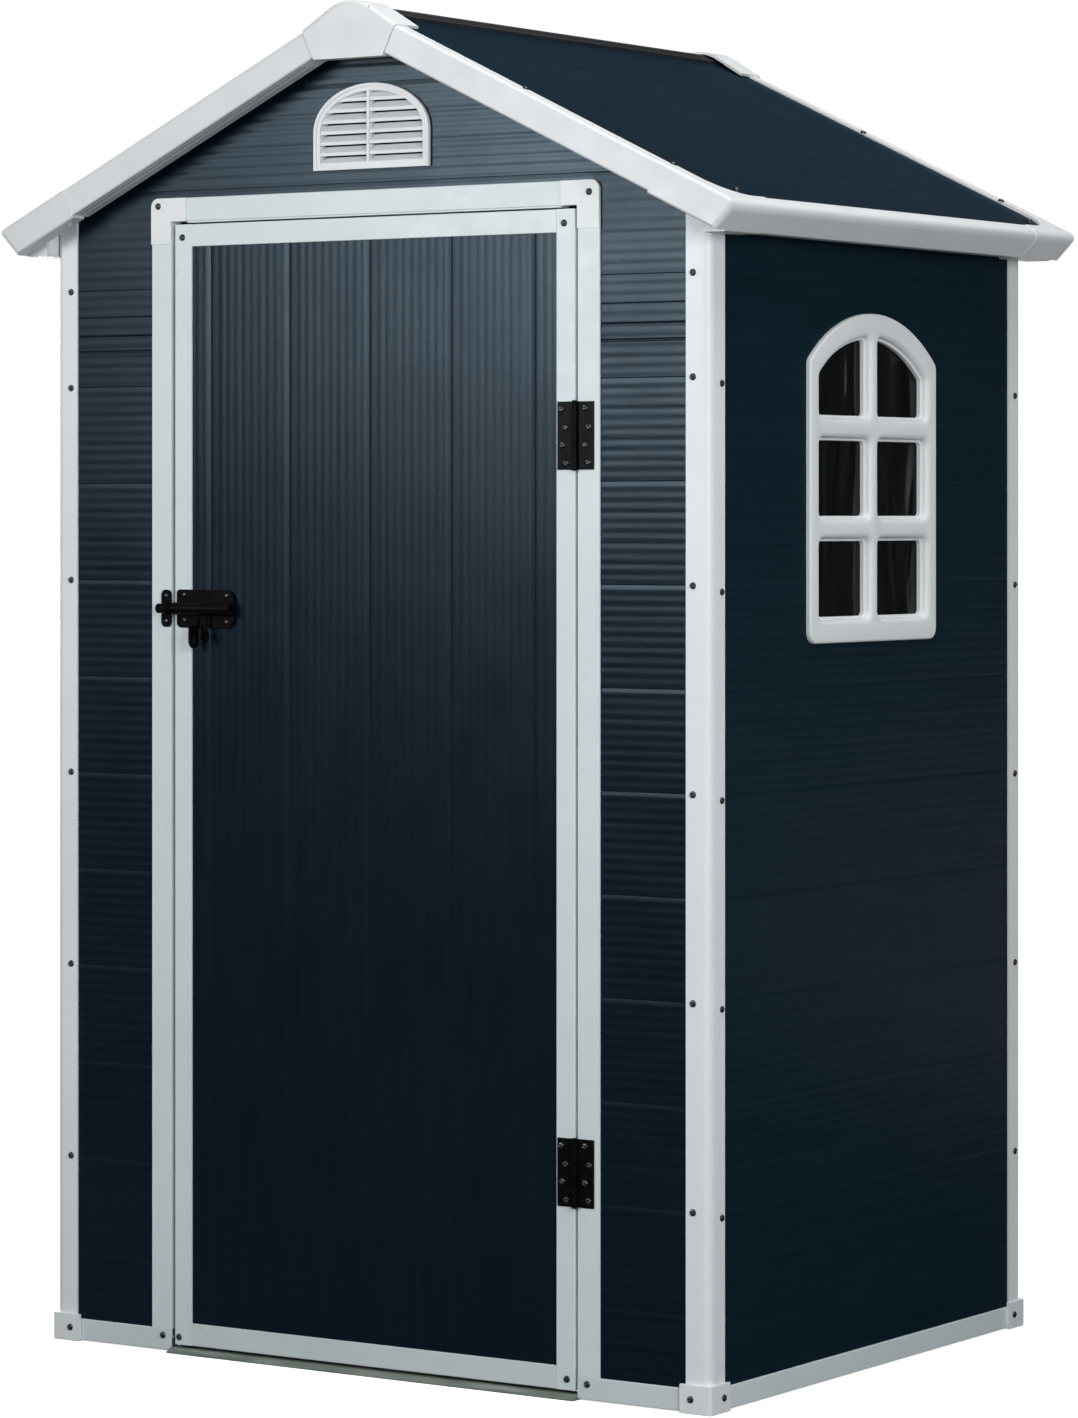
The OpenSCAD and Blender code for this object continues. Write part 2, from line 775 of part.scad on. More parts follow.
module hinge_frame_leaves() {
    color(black) for (z = [hinge_high, hinge_low])
        translate([hinge_x, hinge_y, z - hinge_h / 2]) {
            hinge_leaf([0, 2, 4], pin_r - 0.4);
            cylinder(r = pin_r, h = hinge_h);
            for (end = [-pin_head, hinge_h - 0.2])
                translate([0, 0, end]) cylinder(r = knuckle_r - 0.5, h = pin_head + 0.2);
        }
}

module hinge_door_leaves() {
    color(black) for (z = [hinge_high, hinge_low])
        translate([hinge_x, hinge_y, z - hinge_h / 2]) mirror([1, 0, 0])
            hinge_leaf([1, 3], pin_r + 0.05);
}

// ---------- door leaf ----------
panel_lap = 10;    // the door board reaches this far into the stiles and rails
panel_mid = -2;    // the middle joint between the door's boards

module door_stile(side) {
    inner = leaf_w / 2 - stile_w;
    wall = 2;
    color(frame_paint) translate([leaf_mid, front_y, leaf_low])
        mirror([side < 0 ? 1 : 0, 0, 0]) translate([inner, 0, 0])
        linear_extrude(leaf_top - leaf_low) difference() {
            round_rect([0, 0], [stile_w, leaf_t], [1, 1.5, 1.5, 1]);
            translate([-e, leaf_rebate]) square([panel_lap + e, board_t]);
            translate([panel_lap + wall, wall])
                square([stile_w - panel_lap - 2 * wall, leaf_t - 2 * wall]);
        }
}

module door_rail(z, up) {
    inner = leaf_w / 2 - stile_w;
    wall = 2;
    color(frame_paint) translate([leaf_mid - inner, front_y, z]) mirror([0, 0, up])
        sweep_x(2 * inner) difference() {
            round_rect([0, 0], [leaf_t, rail_h], [1.5, 1.5, 1, 1]);
            translate([leaf_rebate, rail_h - panel_lap]) square([board_t, panel_lap + e]);
            translate([wall, wall])
                square([leaf_t - 2 * wall, rail_h - panel_lap - 2 * wall]);
        }
}

// The door's board: the walls' ribbed board stood on end.
module door_panel() {
    reach = leaf_w / 2 - stile_w + panel_lap;
    low = leaf_low + rail_h - panel_lap;
    high = leaf_top - rail_h + panel_lap;
    face = front_y + leaf_rebate;
    ribs = floor(reach / rib_pitch);
    groove = rib_gap / 2;
    color(board) translate([0, face, low]) linear_extrude(high - low)
        polygon(concat([[leaf_mid - reach, board_t], [leaf_mid - reach, 0]],
                       [for (i = [-ribs + 1 : ribs - 1])
                           let (x = panel_mid + i * rib_pitch,
                                d = i % plank_ribs == 0 ? joint_d : rib_d)
                           each [[x - groove, 0], [x, d], [x + groove, 0]]],
                       [[leaf_mid + reach, 0], [leaf_mid + reach, board_t]]));
}

// ---------- bolt ----------
rod_y = front_y - 10;
rod_r = 5;
plate_low_x = -361;
plate_w = 110;
plate_h = 58;
plate_t = 2.5;
barrel_r = 9.5;
keeper_x = -391;
keeper_w = 19;
keeper_h = 57;
loop_r = 7.5;      // outside of the keeper's loop
lug_x = -321;
tab_x = -300;
tab_t = 3;
slot_len = 44;     // length of the slot the rod's tab slides in

module bolt_plate() {
    stile_edge = leaf_mid - leaf_w / 2 + stile_w;
    right = plate_low_x + plate_w;
    color(black) translate([0, 0, bolt_z]) difference() {
        union() {
            sweep_y(front_y - plate_t, plate_t)
                round_rect([plate_low_x, -plate_h / 2], [right, plate_h / 2], [8, 16, 16, 6]);
            // packing behind the plate, seated on the door board
            sweep_y(front_y, leaf_rebate)
                round_rect([stile_edge + 1, 3 - plate_h / 2], [right - 3, plate_h / 2 - 3],
                           [1, 13, 13, 1]);
            translate([plate_low_x, rod_y, 0]) rotate([0, 90, 0])
                cylinder(r = barrel_r, h = plate_w);
            box([plate_low_x, rod_y, -barrel_r], [right, front_y, barrel_r]);
            // fixed lug for a padlock
            translate([lug_x, 0, 0]) sweep_x(tab_t) difference() {
                union() {
                    translate([front_y - 14, -49]) circle(11);
                    translate([front_y - 25, -49]) square([22, 23]);
                    translate([front_y - 6, -30]) square([6, 14]);
                }
                translate([front_y - 14, -49]) circle(4.5);
            }
        }
        translate([plate_low_x - e, rod_y, 0]) rotate([0, 90, 0])
            cylinder(r = rod_r + 0.6, h = plate_w + 2 * e);
        // slot for the rod's tab
        box([tab_x - 2, rod_y - 2.5, -barrel_r - e],
            [tab_x + slot_len, rod_y + 2.5, 0]);
    }
}

module bolt_keeper() {
    bore_r = rod_r + 1;
    color(black) translate([keeper_x, 0, bolt_z]) difference() {
        union() {
            sweep_y(front_y - plate_t, plate_t)
                round_rect([0, -keeper_h / 2], [keeper_w, keeper_h / 2], [8, 8, 8, 8]);
            translate([0, rod_y, 0]) rotate([0, 90, 0]) cylinder(r = loop_r, h = keeper_w);
            box([0, rod_y, -loop_r], [keeper_w, front_y, loop_r]);
        }
        translate([-e, rod_y, 0]) rotate([0, 90, 0]) cylinder(r = bore_r, h = keeper_w + 2 * e);
        box([-e, rod_y, -bore_r], [keeper_w + e, front_y - 1, bore_r]);
    }
}

module bolt_rod() {
    tip = -393;
    length = 140;
    color(black) translate([0, rod_y, bolt_z]) {
        translate([tip + 2, 0, 0]) rotate([0, 90, 0]) cylinder(r = rod_r, h = length - 2);
        translate([tip, 0, 0]) rotate([0, 90, 0]) cylinder(r1 = rod_r - 2, r2 = rod_r, h = 2);
        // flat tab with a padlock hole
        translate([tab_x, 0, 0]) sweep_x(tab_t) difference() {
            union() {
                translate([-2, -42]) square([4, 42]);
                translate([-4, -42]) circle(9.5);
            }
            translate([-4, -42]) circle(4.5);
        }
    }
}

// ---------- the shed ----------
feet();
post(-1, 0);  // post_front_left
post(1, 0);  // post_front_right
post(-1, 1);  // post_back_left
post(1, 1);  // post_back_right
base_rail_front(-1);  // base_rail_front_left
base_rail_front(1);  // base_rail_front_right
base_rail_side(-1);  // base_rail_left
base_rail_side(1);  // base_rail_right
base_rail_back();
door_sill();
front_wall(-1);  // front_wall_left
front_wall(1);  // front_wall_right
front_gable();
left_wall();
right_wall();
back_wall();
door_jamb(-1);  // door_jamb_left
door_jamb(1);  // door_jamb_right
door_header();
door_frame_corners();
gable_vent();
window_frame();
window_glass();
color(black) mirror([1, 0, 0]) roof_panel();  // roof_panel_left
color(black) roof_panel();  // roof_panel_right
ridge_cap();
barge_boards_front();
barge_boards_back();
mirror([1, 0, 0]) eave_trim();  // eave_trim_left
eave_trim();  // eave_trim_right
apex_cap_front();
apex_cap_back();
roof_corners_front();
roof_corners_back();
hinge_frame_leaves();
bolt_keeper();
door_panel();
door_stile(-1);  // door_stile_left
door_stile(1);  // door_stile_right
door_rail(leaf_top, 1);  // door_rail_top
door_rail(leaf_low, 0);  // door_rail_bottom
hinge_door_leaves();
bolt_plate();
bolt_rod();
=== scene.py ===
import math

import bmesh
import bpy
from mathutils import Matrix, Vector


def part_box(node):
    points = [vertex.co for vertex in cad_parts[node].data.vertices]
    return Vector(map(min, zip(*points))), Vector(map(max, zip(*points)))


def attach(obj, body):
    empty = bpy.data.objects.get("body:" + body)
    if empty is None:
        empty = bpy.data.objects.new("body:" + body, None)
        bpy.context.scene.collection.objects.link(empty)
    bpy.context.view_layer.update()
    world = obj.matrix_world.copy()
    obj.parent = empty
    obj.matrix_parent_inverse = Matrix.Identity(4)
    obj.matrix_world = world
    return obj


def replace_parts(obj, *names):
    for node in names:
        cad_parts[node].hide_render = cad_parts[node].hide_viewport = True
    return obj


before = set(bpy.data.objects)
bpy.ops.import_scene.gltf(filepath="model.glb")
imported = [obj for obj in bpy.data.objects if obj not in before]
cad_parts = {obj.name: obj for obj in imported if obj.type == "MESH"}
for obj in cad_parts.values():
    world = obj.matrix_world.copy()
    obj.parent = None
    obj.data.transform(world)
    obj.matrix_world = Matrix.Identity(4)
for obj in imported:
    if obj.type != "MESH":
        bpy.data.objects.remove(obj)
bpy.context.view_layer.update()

# ---------------------------------------------------------------- camera
# The photograph is 1078 x 1418; the lens, place and turn come from fitting the CAD points to it.
cam_data = bpy.data.cameras.new("camera")
cam_data.sensor_width = 36.0
cam_data.lens = 123.63
cam_data.shift_x = -0.06125
cam_data.shift_y = -0.1373
cam_data.clip_end = 100.0
camera = bpy.data.objects.new("camera", cam_data)
camera.location = (4.2766, -6.3362, 1.2829)
camera.rotation_euler = (math.pi / 2, 0.0, math.radians(33.04))
bpy.context.scene.collection.objects.link(camera)
bpy.context.scene.camera = camera


# ---------------------------------------------------------------- materials
class Tree:
    """Short calls that add nodes to a node tree."""

    def __init__(self, tree):
        self.t = tree

    def node(self, kind, **props):
        n = self.t.nodes.new(kind)
        for key, value in props.items():
            setattr(n, key, value)
        return n

    def link(self, a, b):
        self.t.links.new(a, b)

    def maths(self, operation, a, b):
        n = self.node("ShaderNodeMath", operation=operation)
        for value, socket in zip((a, b), n.inputs):
            if isinstance(value, float):
                socket.default_value = value
            else:
                self.link(value, socket)
        return n.outputs[0]

    def along(self, place, direction):
        """How far a place lies along a fixed direction."""
        n = self.node("ShaderNodeVectorMath", operation="DOT_PRODUCT")
        n.inputs[1].default_value = direction
        self.link(place, n.inputs[0])
        return n.outputs["Value"]

    def smoothstep(self, value, low, high):
        """0 below low, 1 above high, and a smooth rise between them."""
        n = self.node("ShaderNodeMapRange", interpolation_type="SMOOTHSTEP")
        n.inputs["From Min"].default_value = low
        n.inputs["From Max"].default_value = high
        self.link(value, n.inputs["Value"])
        return n.outputs["Result"]


class Mat(Tree):
    """A node material with one Principled shader."""

    def __init__(self, name, roughness, specular, **sockets):
        self.m = bpy.data.materials.new(name)
        self.m.use_nodes = True
        super().__init__(self.m.node_tree)
        self.bsdf = self.t.nodes["Principled BSDF"]
        self.normal = None
        self.set("Roughness", roughness)
        self.set("Specular IOR Level", specular)
        for key, value in sockets.items():
            self.set(key.replace("_", " "), value)

    def set(self, socket, value):
        self.bsdf.inputs[socket].default_value = value

    def noise(self, scale, stretch=(1, 1, 1), detail=3.0, rough=0.5, distortion=0.0):
        place = self.node("ShaderNodeTexCoord").outputs["Object"]
        mapping = self.node("ShaderNodeMapping")
        mapping.inputs["Scale"].default_value = stretch
        self.link(place, mapping.inputs["Vector"])
        n = self.node("ShaderNodeTexNoise")
        n.inputs["Scale"].default_value = scale
        n.inputs["Detail"].default_value = detail
        n.inputs["Roughness"].default_value = rough
        n.inputs["Distortion"].default_value = distortion
        self.link(mapping.outputs["Vector"], n.inputs["Vector"])
        return n.outputs["Fac"]

    def ramp(self, fac, *stops):
        """A colour ramp over stops of (position, colour or grey)."""
        n = self.node("ShaderNodeValToRGB")
        elements = n.color_ramp.elements
        while len(elements) < len(stops):
            elements.new(0.5)
        for el, (pos, col) in zip(elements, stops):
            el.position = pos
            el.color = (col, col, col, 1.0) if isinstance(col, float) else (*col, 1.0)
        self.link(fac, n.inputs["Fac"])
        return n.outputs["Color"]

    def mix(self, fac, a, b):
        """a where fac is 0 and b where it is 1, each a colour or a node's output."""
        n = self.node("ShaderNodeMix", data_type="RGBA")
        self.link(fac, n.inputs["Factor"])
        for col, socket in ((a, n.inputs[6]), (b, n.inputs[7])):
            if isinstance(col, tuple):
                socket.default_value = (*col, 1.0)
            else:
                self.link(col, socket)
        return n.outputs[2]

    def colour(self, out):
        self.link(out, self.bsdf.inputs["Base Color"])

    def rough(self, out):
        self.link(out, self.bsdf.inputs["Roughness"])

    def bump(self, height, strength, distance):
        """Adds a layer of bump over those before it."""
        n = self.node("ShaderNodeBump")
        n.inputs["Strength"].default_value = strength
        n.inputs["Distance"].default_value = distance
        self.link(height, n.inputs["Height"])
        if self.normal is not None:
            self.link(self.normal, n.inputs["Normal"])
        self.normal = n.outputs["Normal"]
        self.link(self.normal, self.bsdf.inputs["Normal"])


def shaded(shade, colour):
    return tuple(shade * c for c in colour)


def white_plastic(name, shade=1.0):
    """Moulded white trim: soft mottling, a fine pebble and slight sink marks."""
    m = Mat(name, roughness=0.4, specular=0.45)
    m.colour(m.ramp(m.noise(3.5, detail=4.0, rough=0.6),
                    (0.3, shaded(shade, (0.765, 0.785, 0.80))),
                    (0.75, shaded(shade, (0.835, 0.845, 0.855)))))
    m.rough(m.ramp(m.noise(22.0, detail=4.0), (0.3, 0.36), (0.8, 0.5)))
    m.bump(m.noise(9.0, detail=2.0), 0.25, 0.0016)
    m.bump(m.noise(900.0, detail=2.0), 0.12, 0.0002)
    return m.m


def frame_paint(name, shade=1.0):
    """Painted steel of the door frame, door edges and base: cooler white, drawn lengthwise,
    with faint scuffs."""
    m = Mat(name, roughness=0.38, specular=0.4)
    base = m.ramp(m.noise(5.0, detail=5.0, rough=0.65),
                  (0.3, shaded(shade, (0.655, 0.72, 0.735))),
                  (0.75, shaded(shade, (0.715, 0.775, 0.79))))
    scuff = m.ramp(m.noise(34.0, detail=8.0, rough=0.75, distortion=1.2),
                   (0.62, 0.0), (0.72, 1.0))
    m.colour(m.mix(scuff, base, shaded(shade, (0.56, 0.62, 0.64))))
    m.rough(m.ramp(m.noise(40.0, detail=5.0), (0.3, 0.32), (0.8, 0.5)))
    m.bump(m.noise(30.0, stretch=(12, 12, 0.4), detail=2.0), 0.12, 0.0004)
    m.bump(m.noise(6.0, detail=3.0), 0.25, 0.001)
    return m.m


def ribbed_board(name, colours, grain, gloss):
    """Dark extruded plastic boards; grain is the stretch that draws the streaks lengthwise."""
    m = Mat(name, roughness=0.3, specular=gloss, Specular_Tint=(0.62, 0.84, 1.0, 1.0))
    streak = m.noise(18.0, stretch=grain, detail=6.0, rough=0.6)
    m.colour(m.ramp(streak, (0.3, colours[0]), (0.72, colours[1])))
    m.rough(m.ramp(m.noise(7.0, detail=6.0, rough=0.65), (0.3, 0.26), (0.75, 0.34)))
    m.bump(m.noise(420.0, detail=3.0, rough=0.7), 0.35, 0.00022)
    m.bump(m.noise(26.0, stretch=grain, detail=3.0), 0.3, 0.0006)
    m.bump(m.noise(3.2, detail=2.0), 0.35, 0.003)
    return m.m


def black_steel():
    """Satin black paint on the bolt and the hinges."""
    m = Mat("black_steel", roughness=0.36, specular=0.05)
    m.colour(m.ramp(m.noise(60.0, detail=5.0), (0.3, (0.0015, 0.0015, 0.002)),
                    (0.8, (0.006, 0.0055, 0.0065))))
    m.rough(m.ramp(m.noise(140.0, detail=4.0), (0.3, 0.28), (0.8, 0.5)))
    m.bump(m.noise(700.0, detail=2.0), 0.3, 0.0002)
    return m.m


def screw_steel():
    """Black screw heads, shinier than the plates."""
    m = Mat("screw_steel", roughness=0.13, specular=0.85)
    m.colour(m.ramp(m.noise(300.0, detail=3.0), (0.3, (0.0015, 0.0015, 0.002)),
                    (0.8, (0.005, 0.005, 0.0055))))
    m.bump(m.noise(900.0, detail=2.0), 0.3, 0.0002)
    return m.m


def ridge_rubber():
    """The black ridge cap, drawn from front to back."""
    m = Mat("ridge_black", roughness=0.5, specular=0.35)
    m.colour(m.ramp(m.noise(20.0, stretch=(8, 0.5, 8), detail=5.0),
                    (0.3, (0.004, 0.004, 0.006)), (0.8, (0.012, 0.011, 0.014))))
    m.bump(m.noise(14.0, stretch=(10, 0.6, 10), detail=3.0), 0.4, 0.0012)
    m.bump(m.noise(500.0), 0.3, 0.0002)
    return m.m


def sill_metal():
    """Dull, stained metal with a green tinge."""
    m = Mat("sill_metal", roughness=0.45, specular=0.45)
    m.colour(m.ramp(m.noise(16.0, stretch=(0.5, 3, 3), detail=7.0, rough=0.7),
                    (0.28, (0.085, 0.11, 0.085)), (0.5, (0.19, 0.22, 0.185)),
                    (0.78, (0.37, 0.395, 0.365))))
    m.rough(m.ramp(m.noise(50.0, detail=4.0), (0.3, 0.35), (0.8, 0.6)))
    m.bump(m.noise(60.0, detail=4.0), 0.3, 0.0006)
    return m.m


def window_film_painted_shade():
    """Clear film with the ripples that such film has, made near black and barely clear: painted
    shade of the dark inside behind the panes.
    """
    m = Mat("window_film_painted_shade", roughness=0.1, specular=0.05, Transmission_Weight=0.2)
    m.colour(m.ramp(m.noise(5.0, detail=4.0), (0.3, (0.0006, 0.0006, 0.0008)),
                    (0.8, (0.0024, 0.0024, 0.003))))
    m.bump(m.noise(4.5, stretch=(1, 2.6, 0.7), detail=1.0, distortion=1.3), 0.6, 0.012)
    m.bump(m.noise(18.0, stretch=(1, 2.0, 0.5), detail=1.0), 0.2, 0.0012)
    return m.m


# the streaks' darker and lighter colour on each kind of board; the side walls' and the roof's are
# lighter than the front's, partly the boards' colour and partly painted sheen in place of their
# gloss
WALL_DARK = ((0.0022, 0.0064, 0.0130), (0.0034, 0.0092, 0.0172))
SIDE_COLOUR_AND_SHEEN = ((0.0034, 0.0130, 0.0215), (0.0052, 0.0170, 0.0270))
ROOF_COLOUR_AND_SHEEN = ((0.0042, 0.0118, 0.0205), (0.0058, 0.0152, 0.0260))
# the grain of boards that lie level, stand upright, or run from front to back
LEVEL, UPRIGHT, BACKWARD = (0.25, 0.25, 4.0), (4.0, 4.0, 0.25), (4.0, 0.25, 4.0)

MAT = {
    "trim": white_plastic("white_plastic"),
    # a darker copy of the white plastic for the roof's trims: painted shade
    "edge": white_plastic("white_plastic_painted_shade", 0.86),
    # a darker copy of the white plastic for the gable vent: painted shade
    "vent": white_plastic("white_plastic_vent_painted_shade", 0.93),
    # a dark grey copy of the white plastic for strips in the barge boards' grooves: painted shade
    "groove": white_plastic("white_plastic_groove_painted_shade", 0.3),
    "frame": frame_paint("frame_paint"),
    # a darker copy of the frame paint for the front base rails and the door's bottom rail:
    # painted shade low down
    "painted_shade_frame": frame_paint("frame_paint_painted_shade", 0.92),
    "wall": ribbed_board("wall_board", WALL_DARK, LEVEL, 0.21),
    "gable": ribbed_board("gable_board", WALL_DARK, LEVEL, 0.32),
    # side walls and roof: little gloss, and a lighter colour that holds painted sheen
    "side": ribbed_board("side_board_painted_sheen", SIDE_COLOUR_AND_SHEEN, LEVEL, 0.03),
    "door": ribbed_board("door_board", WALL_DARK, UPRIGHT, 0.225),
    "roof": ribbed_board("roof_board_painted_sheen", ROOF_COLOUR_AND_SHEEN, BACKWARD, 0.005),
    "black": black_steel(),
    "screw": screw_steel(),
    "ridge": ridge_rubber(),
    "sill": sill_metal(),
    "film": window_film_painted_shade(),
}

NODE_MAT = {
    "door_sill": "sill", "window_glass": "film", "ridge_cap": "ridge",
    "roof_panel_left": "roof", "roof_panel_right": "roof",
    "hinge_frame_leaves": "black", "hinge_door_leaves": "black", "bolt_keeper": "black",
    "bolt_plate": "black", "bolt_rod": "black", "door_panel": "door",
    # the gable vent and the lowest frame rails take darker copies of their white: painted shade
    "gable_vent": "vent", "base_rail_front_left": "painted_shade_frame",
    "base_rail_front_right": "painted_shade_frame", "door_rail_bottom": "painted_shade_frame",
    "left_wall": "side", "right_wall": "side", "door_frame_corners": "trim",
}


def material_of(name):
    if name in NODE_MAT:
        return MAT[NODE_MAT[name]]
    if name.endswith("wall") or name.startswith("front_"):
        return MAT["wall"]
    if name.startswith(("base_rail", "door_")):
        return MAT["frame"]
    # the barge boards, eave trims, corner caps and apex caps take the darker copy of the white
    # plastic: painted shade
    if name.startswith(("barge", "eave", "roof_corners", "apex")):
        return MAT["edge"]
    return MAT["trim"]


for name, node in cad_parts.items():
    if not node.material_slots:
        node.data.materials.append(material_of(name))
    for slot in node.material_slots:
        slot.material = material_of(name)


# ---------------------------------------------------------------- mesh helpers
def corners(node):
    """The low and high corner of a CAD node's box."""
    low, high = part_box(node)
    return Vector(low), Vector(high)


def make(name, bm, material, body, smooth=35):
    """Turns a bmesh into an object that rides on a body; edges sharper than smooth show."""
    mesh = bpy.data.meshes.new(name)
    bmesh.ops.recalc_face_normals(bm, faces=bm.faces)
    bm.to_mesh(mesh)
    bm.free()
    for p in mesh.polygons:
        p.use_smooth = True
    mesh.set_sharp_from_angle(angle=math.radians(smooth))
    obj = bpy.data.objects.new(name, mesh)
    bpy.context.scene.collection.objects.link(obj)
    mesh.materials.append(material)
    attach(obj, body)
    return obj


def skin(bm, rings):
    """Closes a solid over rings of vertices: an end face on each end, and the sides."""
    bm.faces.new(rings[0])
    bm.faces.new(rings[-1])
    for ring, after in zip(rings, rings[1:]):
        for i in range(len(ring)):
            j = (i + 1) % len(ring)
            bm.faces.new((ring[i], ring[j], after[j], after[i]))


def prism(points, axis, low, high):
    """A closed prism from 2D points, along axis 0 (points in y, z) or 1 (points in x, z)."""
    bm = bmesh.new()
    skin(bm, [[bm.verts.new((level, a, b) if axis == 0 else (a, level, b)) for a, b in points]
              for level in (low, high)])
    return bm


def rect(a0, b0, a1, b1):
    return [(a0, b0), (a1, b0), (a1, b1), (a0, b1)]


def boolean(bm, cutter, operation):
    """bm after an exact boolean with the cutter; both come and go as bmeshes."""
    objs = []
    for tag, source in (("work", bm), ("cut", cutter)):
        mesh = bpy.data.meshes.new(tag)
        bmesh.ops.recalc_face_normals(source, faces=source.faces)
        source.to_mesh(mesh)
        source.free()
        obj = bpy.data.objects.new(tag, mesh)
        bpy.context.scene.collection.objects.link(obj)
        objs.append(obj)
    mod = objs[0].modifiers.new("b", "BOOLEAN")
    mod.operation = operation
    mod.solver = "EXACT"
    mod.object = objs[1]
    bpy.context.view_layer.update()
    done = objs[0].evaluated_get(bpy.context.evaluated_depsgraph_get())
    out = bmesh.new()
    out.from_mesh(done.to_mesh())
    done.to_mesh_clear()
    for obj in objs:
        mesh = obj.data
        bpy.data.objects.remove(obj)
        bpy.data.meshes.remove(mesh)
    return out


# ---------------------------------------------------------------- ribbed boards
BOARD = 0.149        # width of one board
RIB = BOARD / 10     # width of one rib
SAMPLES = 8          # levels at which the face is sampled on each rib
JOINT_Z = 0.138      # the lowest joint between wall boards
DOOR_JOINT = -0.002  # the middle joint between door boards
RISE = 1.6 * RIB     # how far past a joint the board has risen to its full height
WARP = 0.0003        # depth of a face's slow waves
GOLDEN = 2.399963    # radians between neighbours in an even spread, so that no two ribs match
# A joint between boards: its depth, the width of the slope into it, and that slope's curve. The
# steep way out is a quarter as wide.
WALL_JOINT = (0.0006, 0.006, 1.2)
SIDE_JOINT = (0.0003, 0.006, 1.2)
DOOR_LAP = (0.0012, 0.0125, 1.9)
# deeper grooves in one board of each front wall: height, depth and half width
WALL_GROOVES = ((1.586, 0.0004, 0.0022), (1.5565, 0.0007, 0.0035), (1.5335, 0.0008, 0.0030))


def rib_depth(t, zero, rib_size, joint):
    """Depth of the board's face at t across it: shallow ribs with a few fine grooves between
    them, and a stepped joint, after which the board rises slowly."""
    turn = (t - zero) / RIB
    k = math.floor(turn + 0.5)
    odd = 0.5 + 0.5 * math.sin(k * GOLDEN + (k % 7) * 1.7)
    wave = 0.5 + 0.5 * math.cos(2 * math.pi * (turn - k))
    rib = rib_size * (0.85 + 0.3 * odd) * wave
    if k % 10 in (2, 4, 7):
        rib += 0.3 * rib_size * wave ** 6
    past = ((t - zero) / BOARD) % 1.0 * BOARD
    before = BOARD - past
    size, ramp, curve = joint
    way_out = ramp / 4
    rib *= max(0.35, min(1.0, before / ramp, past / (0.5 * RIB) + 0.35))
    step = 0.0
    if before < ramp:
        step = size * (1.0 - before / ramp) ** curve
    elif past < way_out:
        step = size * (1.0 - 0.75 * past / way_out)
    elif past < RISE:
        step = size * 0.25 * (1.0 - (past - way_out) / (RISE - way_out))
    return rib + step


def groove_depth(t, grooves):
    return sum(deep * math.cos(0.5 * math.pi * (t - mid) / half) ** 2
               for mid, deep, half in grooves if abs(t - mid) < half)


def rib_levels(low, high, zero, grooves):
    """Where the face is sampled: evenly over the ribs, and finer at the joints and grooves."""
    levels = {low, high}
    for mid, _, half in grooves:
        levels.update(mid + half * d for d in (-1.0, -0.5, 0.0, 0.5, 1.0)
                      if low < mid + half * d < high)
    k = math.ceil((low - zero) / RIB * SAMPLES)
    while zero + k * RIB / SAMPLES < high:
        t = zero + k * RIB / SAMPLES
        if t > low:
            levels.add(t)
        if k % (10 * SAMPLES) == 0:    # a joint
            levels.update(t + d for d in (-0.0045, -0.0027, -0.0009, -0.0003, 0.0008, 0.0015,
                                          0.0031) if low < t + d < high)
        k += 1
    out = []
    for t in sorted(levels):
        if not out or t - out[-1] >= 0.0002:
            out.append(t)
    return out


def ribbed(low, high, s_low, s_high, zero, thick, place, step=0.03, rib=0.0002,
           joint=WALL_JOINT, grooves=()):
    """Boards side by side as a closed mesh. t runs across the ribs from low to high and s along
    them; place(s, depth, t) gives the point."""
    bm = bmesh.new()
    levels = rib_levels(low, high, zero, grooves)
    n = max(1, round((s_high - s_low) / step))
    cols = [s_low + (s_high - s_low) * i / n for i in range(n + 1)]
    face, back = [], []
    for t in levels:
        row = []
        for s in cols:
            wave = (math.sin(s * 23.0 + t * 7.0) + math.sin(s * 11.0 - t * 17.0 + 1.3)
                    + math.sin(s * 37.0 + t * 31.0 + 2.1))
            depth = rib_depth(t, zero, rib, joint) + groove_depth(t, grooves)
            row.append(bm.verts.new(place(s, depth + WARP * (0.5 + wave / 6.0), t)))
        face.append(row)
        back.append([bm.verts.new(place(s, thick, t)) for s in (cols[0], cols[-1])])
    for i in range(len(levels) - 1):
        for j in range(n):
            bm.faces.new((face[i][j], face[i][j + 1], face[i + 1][j + 1], face[i + 1][j]))
        bm.faces.new((back[i][0], back[i + 1][0], back[i + 1][1], back[i][1]))
        bm.faces.new((face[i][0], face[i + 1][0], back[i + 1][0], back[i][0]))
        bm.faces.new((face[i][n], back[i][1], back[i + 1][1], face[i + 1][n]))
    bm.faces.new([*face[0], back[0][1], back[0][0]])
    bm.faces.new([*face[-1], back[-1][1], back[-1][0]])
    return bm


# ---------------------------------------------------------------- walls
PITCH = math.radians(25.45)    # the roof's slope
SLOPE = math.tan(PITCH)
CUT = 0.02                     # how far a cutter reaches past what it cuts
PLAN = ((-1, -1), (1, -1), (-1, 1), (1, 1))    # the shed's four corners, as signs of x and y
peak = corners("back_wall")[1].z
eave_z = corners("right_wall")[1].z    # the side walls' height


def under_roof():
    """Everything below the roof boards."""
    reach = 0.9
    drop = peak - reach * SLOPE
    return prism([(0, peak), (reach, drop), (reach, 0), (-reach, 0), (-reach, drop)], 1,
                 -0.7, 0.7)


def vent_outline(inset):
    """The vent's outline in (x, z): a rectangle under half an ellipse."""
    low, high = corners("gable_vent")
    side_h, turns = 0.057, 32
    mid, half = (low.x + high.x) / 2, (high.x - low.x) / 2 - inset
    spring, rise = low.z + side_h, high.z - low.z - side_h - inset
    pts = [(mid - half, low.z + inset), (mid + half, low.z + inset)]
    for i in range(turns + 1):
        a = math.pi * i / turns
        pts.append((mid + half * math.cos(a), spring + rise * math.sin(a)))
    return pts


